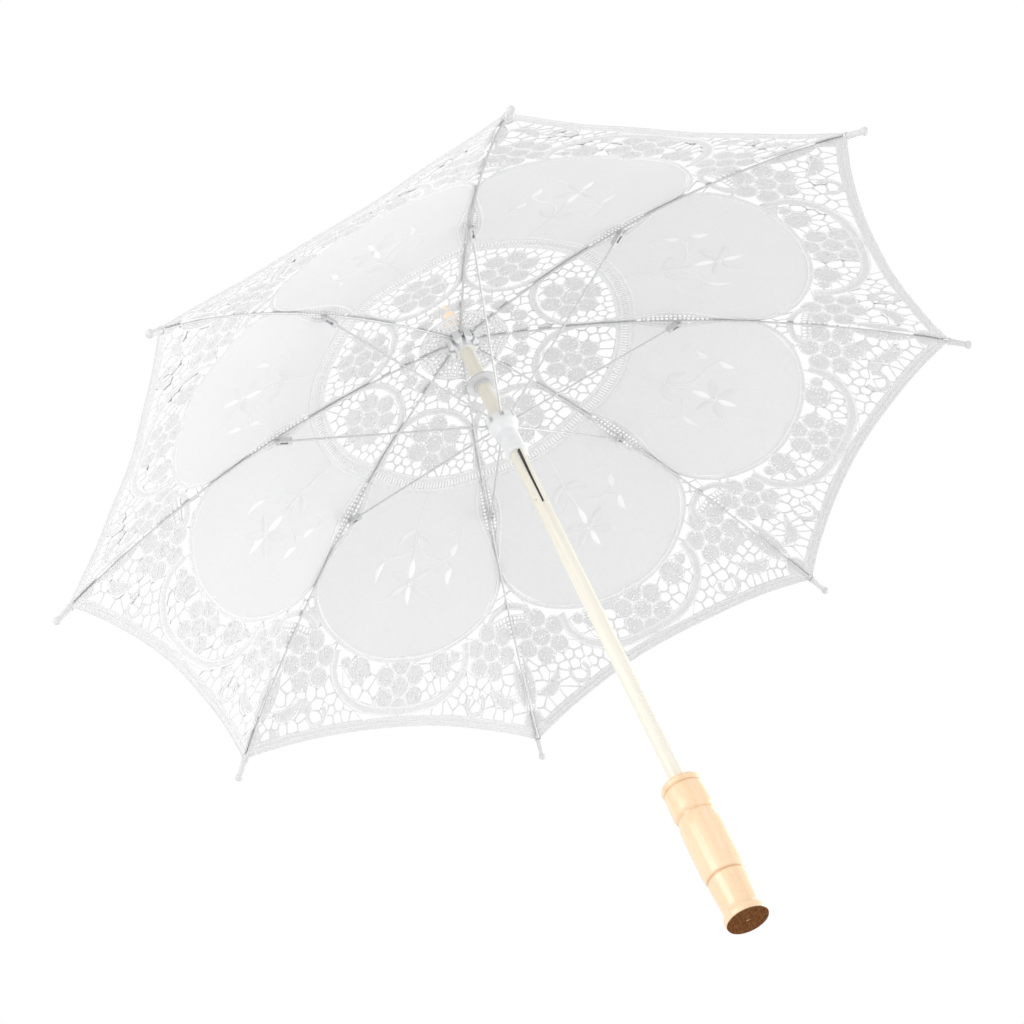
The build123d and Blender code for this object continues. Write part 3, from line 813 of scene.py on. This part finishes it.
def beech_material(name, pale, deep, dark_end_and_groove_shade):
    """Turned beech under lacquer: grain along the turning, flecks, painted shade in the grooves and a stained
    end where asked.
    """
    mat, nodes, links, shader = material(name)
    place = nodes.new("ShaderNodeTexCoord").outputs["Object"]
    grain = noise(nodes, links, place, 1.0, 4.0, (210, 210, 14))
    between = [(a + b) / 2 for a, b in zip(pale, deep)]
    colour = ramp(nodes, links, grain, [(0.3, deep), (0.5, between), (0.7, pale)])
    flecks = noise(nodes, links, place, 1.0, 2.0, (1500, 1500, 260))
    fleck_colour = ramp(nodes, links, flecks, [(0.60, (1, 1, 1)), (0.72, (0.86, 0.76, 0.66))])
    result = mix_colours(nodes, links, colour, fleck_colour, 0.45, "MULTIPLY")
    if dark_end_and_groove_shade:
        height = height_of(nodes, links, place)
        # Painted shade: narrow darker bands at the heights of the handle's grooves.
        stops = [(0.0, WHITE)]
        for middle, shade in GROOVE_SHADE:
            for offset, left in ((-GROOVE_SOFT, WHITE), (0.0, shade), (GROOVE_SOFT, WHITE)):
                stops.append(((middle + offset) / HANDLE_TOP, left))
        groove_shade = ramp(nodes, links, map_range(nodes, links, height, 0.0, HANDLE_TOP), stops)
        result = mix_colours(nodes, links, result, groove_shade, 1.0, "MULTIPLY")
        lacquer = map_range(nodes, links, height, *END_GRAIN_Z, 0.7)
        links.new(lacquer, shader.inputs["Coat Weight"])
        links.new(lacquer, shader.inputs["Specular IOR Level"])
        rings = noise(nodes, links, place, 1.0, 4.0, (300, 900, 1))
        stained = ramp(nodes, links, rings, [(0.3, (0.085, 0.030, 0.010)), (0.7, (0.19, 0.085, 0.034))])
        result = mix_colours(nodes, links, stained, result, map_range(nodes, links, height, *END_GRAIN_Z))
    links.new(result, shader.inputs["Base Color"])
    shader.inputs["Roughness"].default_value = 0.38
    shader.inputs["Coat Weight"].default_value = 0.7
    shader.inputs["Coat Roughness"].default_value = 0.12
    bump(nodes, links, grain, shader, 0.06, 0.0002)
    return mat


def shaft_material():
    """Cream paint, thin enough for the grain to show through."""
    mat, nodes, links, shader = material("painted_shaft")
    place = nodes.new("ShaderNodeTexCoord").outputs["Object"]
    grain = noise(nodes, links, place, 1.0, 5.0, (800, 800, 14))
    colour = ramp(nodes, links, grain, [(0.3, (0.75, 0.71, 0.605)), (0.7, (0.83, 0.80, 0.715))])
    links.new(colour, shader.inputs["Base Color"])
    shader.inputs["Roughness"].default_value = 0.42
    shader.inputs["Coat Weight"].default_value = 0.2
    bump(nodes, links, grain, shader, 0.05, 0.0002)
    return mat


def moulded_material(name, colour, rough, clear):
    """Moulded plastic with faint flow marks, and light that sinks in a little."""
    mat, nodes, links, shader = material(name)
    place = nodes.new("ShaderNodeTexCoord").outputs["Object"]
    flow = noise(nodes, links, place, 260.0, 3.0)
    darker = [c * 0.94 for c in colour]
    links.new(ramp(nodes, links, flow, [(0.35, darker), (0.65, colour)]), shader.inputs["Base Color"])
    shader.inputs["Roughness"].default_value = rough
    shader.inputs["Subsurface Weight"].default_value = 0.25
    shader.inputs["Subsurface Radius"].default_value = (0.003, 0.003, 0.003)
    shader.inputs["Transmission Weight"].default_value = clear
    bump(nodes, links, noise(nodes, links, place, 1400.0, 2.0), shader, 0.08, 0.0002)
    return mat


def metal_material(name, low, high, metallic, rough, stretch):
    """Drawn wire or sheet: fine lines, and paint or bare steel by the metallic value."""
    mat, nodes, links, shader = material(name)
    place = nodes.new("ShaderNodeTexCoord").outputs["Object"]
    lines = noise(nodes, links, place, 1.0, 4.0, stretch)
    links.new(ramp(nodes, links, lines, [(0.3, low), (0.7, high)]), shader.inputs["Base Color"])
    shader.inputs["Metallic"].default_value = metallic
    shader.inputs["Roughness"].default_value = rough
    bump(nodes, links, lines, shader, 0.12, 0.0002)
    return mat


def paint_nodes():
    """Gives every CAD node that stays its own material."""
    plastic = moulded_material("white_plastic", (0.84, 0.845, 0.85), 0.34, 0.0)
    caps = moulded_material("cap_plastic", (0.66, 0.66, 0.67), 0.34, 0.0)
    washer = moulded_material("clear_washer", (0.93, 0.93, 0.935), 0.25, 0.45)
    wire = metal_material("painted_wire", (0.56, 0.56, 0.57), (0.70, 0.70, 0.71), 0.45, 0.32, (700, 700, 700))
    bright = metal_material("bright_steel", (0.50, 0.50, 0.51), (0.66, 0.66, 0.67), 1.0, 0.3, (900, 900, 900))
    spring = metal_material("spring_steel", (0.045, 0.045, 0.05), (0.10, 0.10, 0.105), 0.9, 0.36,
                            (200, 200, 2600))
    looks = {
        "beech_handle": beech_material("beech_handle", (0.89, 0.67, 0.45), (0.81, 0.56, 0.33), True),
        "natural_ferrule": beech_material("natural_ferrule", (0.92, 0.73, 0.53), (0.83, 0.60, 0.40), False),
        "painted_shaft": shaft_material(),
        "white_plastic": plastic,
        "clear_washer": washer,
        "painted_wire": wire,
        "bright_steel": bright,
        "spring_steel": spring,
    }
    for part in frame["record"]["subparts"]:
        look = caps if part["node"].startswith("tip_cap") else looks.get(part["material_slot"])
        if look is not None:
            data = frame["nodes"][part["node"]].data
            data.materials.clear()
            data.materials.append(look)


# ---------------------------------------------------------------- pieces


def petal_faces(edge):
    """Half a petal of cotton as a closed thin sheet: rows from the panel's middle to the edge."""
    columns, rows = 16, len(edge)
    ring = RING_OUT * CORNER_R
    points = []
    base = edge[0][1]
    for i, (reach, y) in enumerate(edge):
        share = (1 - i / (rows - 1)) ** 2
        for j in range(columns + 1):
            x = reach * j / columns
            bow = (math.sqrt(ring**2 - x * x) - base) * share
            points.append((x, y + (bow if i < rows - 1 else 0), 0.13))
    top = np.array(points)
    n = len(top)
    points = np.vstack([top, top * (1, 1, -1)])
    faces = []
    width = columns + 1
    for i in range(rows - 1):
        for j in range(columns):
            a, b, c, d = i * width + j, i * width + j + 1, (i + 1) * width + j + 1, (i + 1) * width + j
            faces.append((a, b, c, d))
            faces.append((d + n, c + n, b + n, a + n))
    rim = [j for j in range(width)] + [i * width + columns for i in range(1, rows)]
    rim += [(rows - 1) * width + j for j in range(columns - 1, -1, -1)]
    rim += [i * width for i in range(rows - 2, 0, -1)]
    for a, b in zip(rim, rim[1:] + rim[:1]):
        faces.append((b, a, a + n, b + n))
    flat = Flat()
    flat.add(points, faces, points * (1, 1, 0))
    return flat


def satin_leaf(flat, start, end, half, bend=0.0, rise=0.5):
    """A satin-stitch leaf or petal from its stalk to its tip."""
    start, end = np.array(start), np.array(end)
    middle = (start + end) / 2 + bend * np.array((-(end - start)[1], (end - start)[0]))
    path = smooth([start, middle, end], 1.1)
    t = np.linspace(0, 1, len(path))
    swell = np.maximum(np.sin(np.pi * t**0.8) ** 0.75, 0.08)
    # Painted sheen: the more a leaf lies across the panel, the darker it is painted.
    across = abs((end - start)[0]) / np.linalg.norm(end - start)
    strip(flat, path, LEAF, half * swell, rise * (0.35 + 0.65 * swell), painted_light=1.0 - across)


def embroidery(dice):
    """One panel's spray: a stem with leaves, buds on tendrils and a five-petalled flower."""
    flat = Flat()

    def stem(points, radius=0.42):
        path = smooth([at(x, y + SPRIG_OUT) for x, y in points], 1.2)
        # Stems are painted a little darker than leaves along the panel, as painted sheen.
        strip(flat, path, ROUND, radius, radius * 1.05, painted_light=0.7)

    def leaf(a, b, half, bend=0.0):
        satin_leaf(flat, at(a[0], a[1] + SPRIG_OUT), at(b[0], b[1] + SPRIG_OUT), half, bend)

    stem([(0.012, 0.375), (0.010, 0.43), (0.002, 0.50), (0.004, 0.555), (0.0, 0.60)])
    leaf((0.0, 0.492), (-0.042, 0.527), 2.6, 0.12)
    leaf((0.004, 0.497), (0.050, 0.530), 2.4, -0.12)
    stem([(0.006, 0.508), (0.022, 0.545), (0.048, 0.562), (0.078, 0.570), (0.098, 0.585), (0.104, 0.60)])
    leaf((0.104, 0.588), (0.099, 0.628), 2.3, 0.1)
    stem([(0.078, 0.570), (0.098, 0.562), (0.104, 0.552)], 0.32)
    leaf((0.103, 0.562), (0.114, 0.530), 2.4, -0.1)
    stem([(0.114, 0.532), (0.117, 0.515), (0.106, 0.502), (0.086, 0.503)], 0.32)
    stem([(0.0, 0.528), (-0.030, 0.552), (-0.066, 0.561), (-0.082, 0.575)], 0.38)
    leaf((-0.074, 0.566), (-0.089, 0.617), 2.0, 0.08)
    stem([(-0.066, 0.561), (-0.090, 0.545), (-0.094, 0.52), (-0.082, 0.503), (-0.062, 0.500)], 0.32)
    for tip, half in (((0.001, 0.672), 2.2), ((-0.047, 0.654), 2.6), ((0.050, 0.652), 2.4),
                      ((-0.046, 0.590), 2.0), ((0.052, 0.588), 2.6), ((0.003, 0.556), 2.4)):
        middle = np.array((0.0, 0.617))
        start = middle + (np.array(tip) - middle) * 0.16
        leaf(tuple(start), tip, half + dice.uniform(-0.15, 0.15), 0.03)
    stem([(0.044, 0.645), (0.060, 0.660), (0.083, 0.665)], 0.28)
    stem([(-0.044, 0.648), (-0.062, 0.662), (-0.083, 0.664)], 0.28)
    knot = at(0.0, 0.617 + SPRIG_OUT)
    strip(flat, arc(knot, 1.0, 0, 360, 0.8)[:-1], ROUND, 0.6, 0.6, closed=True)
    return flat


def make_canopy():
    """Sixteen half panels, each of cotton, lace and embroidery, put beside their ribs in place of the CAD
    canopy halves.
    """
    lace_look, satin_look = lace_material(), satin_material()
    cotton_look = cotton_material("cotton_lawn", 0.3)
    dice = random.Random(7)
    motif = Motif(dice)
    domain = [(1.0, 0.0), (-COS, SIN)]
    lace_points, lace_faces, lace_weave = cut(motif.flat, domain)
    petal_points, petal_quads, petal_weave = petal_faces(motif.petal_edge).arrays()
    nets = net_by_half(motif)
    for half in range(2 * PANELS):
        left = half % 2 == 0
        rib = half // 2 + 1 if left else (half + 1) // 2 % PANELS + 1
        side = "left" if left else "right"
        azimuth = (half // 2 + 0.5) * 2 * HALF
        name = f"{rib}_{side}"

        def place(points, faces, mirror):
            moved = turned(points, azimuth, mirror)
            return lift(moved), [f[::-1] for f in faces] if not mirror else faces

        points, faces = place(lace_points, lace_faces, not left)
        net = Flat()
        weave_cells(net, nets[half], THREAD, 0.42, 0.02, True, dice)
        low, high = half * HALF, (half + 1) * HALF
        sides = [(-math.sin(low), math.cos(low)), (math.sin(high), -math.cos(high))]
        net_points, net_faces, net_weave = cut(net, sides)
        faces = faces + [tuple(i + len(points) for i in f) for f in net_faces]
        points = np.vstack([points, lift(net_points)])
        lace = to_object(f"lace_{name}", points, faces, np.vstack([lace_weave, net_weave]), lace_look)
        points, faces = place(petal_points, petal_quads, not left)
        cotton = to_object(f"cotton_petal_{name}", points, faces, petal_weave, cotton_look)
        way = (1.0, 0.0) if left else (-1.0, 0.0)
        sprig_points, sprig_faces, sprig_weave = cut(embroidery(random.Random(half // 2)), [way])
        points, faces = place(sprig_points, sprig_faces, False)
        sprig = to_object(f"embroidery_{name}", points, faces, sprig_weave, satin_look)
        for piece in (cotton, lace, sprig):
            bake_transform(piece)
        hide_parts(f"canopy_{rib}_{side}")


def net_by_half(motif):
    """The open net of the whole canopy, shared out to the half panels by each cell's middle."""
    dice = random.Random(11)
    reach = CORNER_R + 5
    seeds = lattice((-reach, -reach), (reach, reach), NET_CELL, 0.3, dice, 0.42)

    def local(p):
        angle = np.arctan2(p[:, 1], p[:, 0])
        off = (angle / (2 * HALF)) % 1.0 - 0.5
        r = np.hypot(p[:, 0], p[:, 1])
        turn = np.abs(off) * 2 * HALF
        return np.stack([r * np.sin(turn), r * np.cos(turn)], 1)

    x = np.linspace(-0.3, SIN, 60)
    rim = [at(v, hem_line(v)) for v in x] + [at(0.5, 1.03), at(0.5, 0.02), at(-0.3, 0.02)]
    ground = area(np.array(rim))

    def room(p):
        q = local(p)
        return np.minimum(ground(q), motif.free(q))

    seeds = seeds[room(seeds) > -0.25 * NET_CELL]
    shared = [[] for _ in range(2 * PANELS)]
    for ring, edge in web(seeds, room, NET_CELL, rounds=2):
        middle = ring.mean(0)
        half = int(math.floor(math.atan2(middle[1], middle[0]) / HALF)) % (2 * PANELS)
        shared[half].append((ring, edge))
    return shared


def make_crown():
    """Gathered round of cotton under the ferrule, with its pleats pulled in to the shaft."""
    top = CLOTH_TOP - 0.1
    inner = (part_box("shaft")[1].x / MM) + 0.1
    profile = [(inner, 1.2, 0.0), (5.6, 0.9, 0.05), (7.4, 1.3, 0.18), (9.6, 1.8, 0.32), (11.6, 2.7, 0.42),
               (13.4, 4.0, 0.5), (14.4, 4.9, 0.55)]
    around, pleats, thick = 144, 24, 0.55
    points, faces = [], []
    for face in (0, 1):
        for r, fall, wave_height in profile:
            for i in range(around):
                a = math.tau * i / around
                lift_up = wave_height * math.sin(pleats * a) + 0.25 * wave_height * math.sin(5 * a + 1)
                points.append((r * math.cos(a), r * math.sin(a), top - fall + lift_up - face * thick))
    rings, n = len(profile), len(profile) * around
    for k in range(rings - 1):
        for i in range(around):
            a, b = k * around + i, k * around + (i + 1) % around
            faces.append((a, a + around, b + around, b))
            faces.append((b + n, b + around + n, a + around + n, a + n))
    for k, flip in ((0, True), (rings - 1, False)):
        for i in range(around):
            a, b = k * around + i, k * around + (i + 1) % around
            faces.append((a, b, b + n, a + n) if flip else (b, a, a + n, b + n))
    points = np.array(points)
    crown = to_object("crown_cloth", points * MM, faces, points, cotton_material("crown_cotton", 0.7))
    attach(crown, "root")
    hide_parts("crown_rosette")
    return crown


# Where the camera stands, which way its picture's right and top point, and its focal length in mm
CAMERA_PLACE = Vector((1.17789, -0.31846, -0.64512))
CAMERA_RIGHT = Vector((-0.03635, 0.93807, -0.34454))
CAMERA_UP = Vector((0.64204, 0.28612, 0.71128))
CAMERA_LENS = 94.7
FLOOR_Z = -0.9
LIT_POINT = Vector((0, 0, 0.25))


def make_light():
    """White world and soft lamps, so that the cloth reads grey on white."""
    world = bpy.data.worlds.new("white_studio")
    world.use_nodes = True
    background = world.node_tree.nodes["Background"]
    background.inputs["Color"].default_value = (1, 1, 1, 1)
    background.inputs["Strength"].default_value = 1.0
    scene = bpy.context.scene
    scene.world = world
    scene.view_settings.view_transform = "Standard"
    lamps = [("key_panel", (0.9, -1.1, 0.5), 0.9, 7.0), ("side_panel", (-0.5, 1.8, 0.0), 1.2, 21.0),
             ("back_panel", (-0.9, 1.2, 1.3), 1.2, 6.0)]
    for name, place, size, watts in lamps:
        light = bpy.data.lights.new(name, "AREA")
        light.energy, light.size = watts, size
        lamp = bpy.data.objects.new(name, light)
        lamp.location = place
        aim = LIT_POINT - Vector(place)
        lamp.rotation_euler = aim.to_track_quat("-Z", "Y").to_euler()
        scene.collection.objects.link(lamp)


def make_camera():
    """Camera below and to the +X side, looking up into the open canopy."""
    data = bpy.data.cameras.new("camera")
    data.sensor_width, data.lens = 36.0, CAMERA_LENS
    data.clip_start, data.clip_end = 0.05, 20.0
    camera = bpy.data.objects.new("camera", data)
    turn = Matrix((CAMERA_RIGHT, CAMERA_UP, CAMERA_RIGHT.cross(CAMERA_UP))).transposed()
    camera.matrix_world = Matrix.Translation(CAMERA_PLACE) @ turn.to_4x4()
    bpy.context.scene.collection.objects.link(camera)
    bpy.context.scene.camera = camera


def make_floor():
    """A pale floor well below the parasol."""
    bm = bmesh.new()
    bmesh.ops.create_grid(bm, x_segments=4, y_segments=4, size=6.0)
    mesh = bpy.data.meshes.new("floor")
    bm.to_mesh(mesh)
    bm.free()
    mat, nodes, links, shader = material("floor_paint")
    place = nodes.new("ShaderNodeTexCoord").outputs["Object"]
    tones = [(0.3, (0.92, 0.92, 0.92)), (0.7, (0.94, 0.94, 0.94))]
    links.new(ramp(nodes, links, noise(nodes, links, place, 3.0), tones), shader.inputs["Base Color"])
    shader.inputs["Roughness"].default_value = 0.9
    mesh.materials.append(mat)
    floor = bpy.data.objects.new("floor", mesh)
    floor.location.z = FLOOR_Z
    bpy.context.scene.collection.objects.link(floor)


make_camera()
make_floor()
make_light()
paint_nodes()
make_canopy()
make_crown()
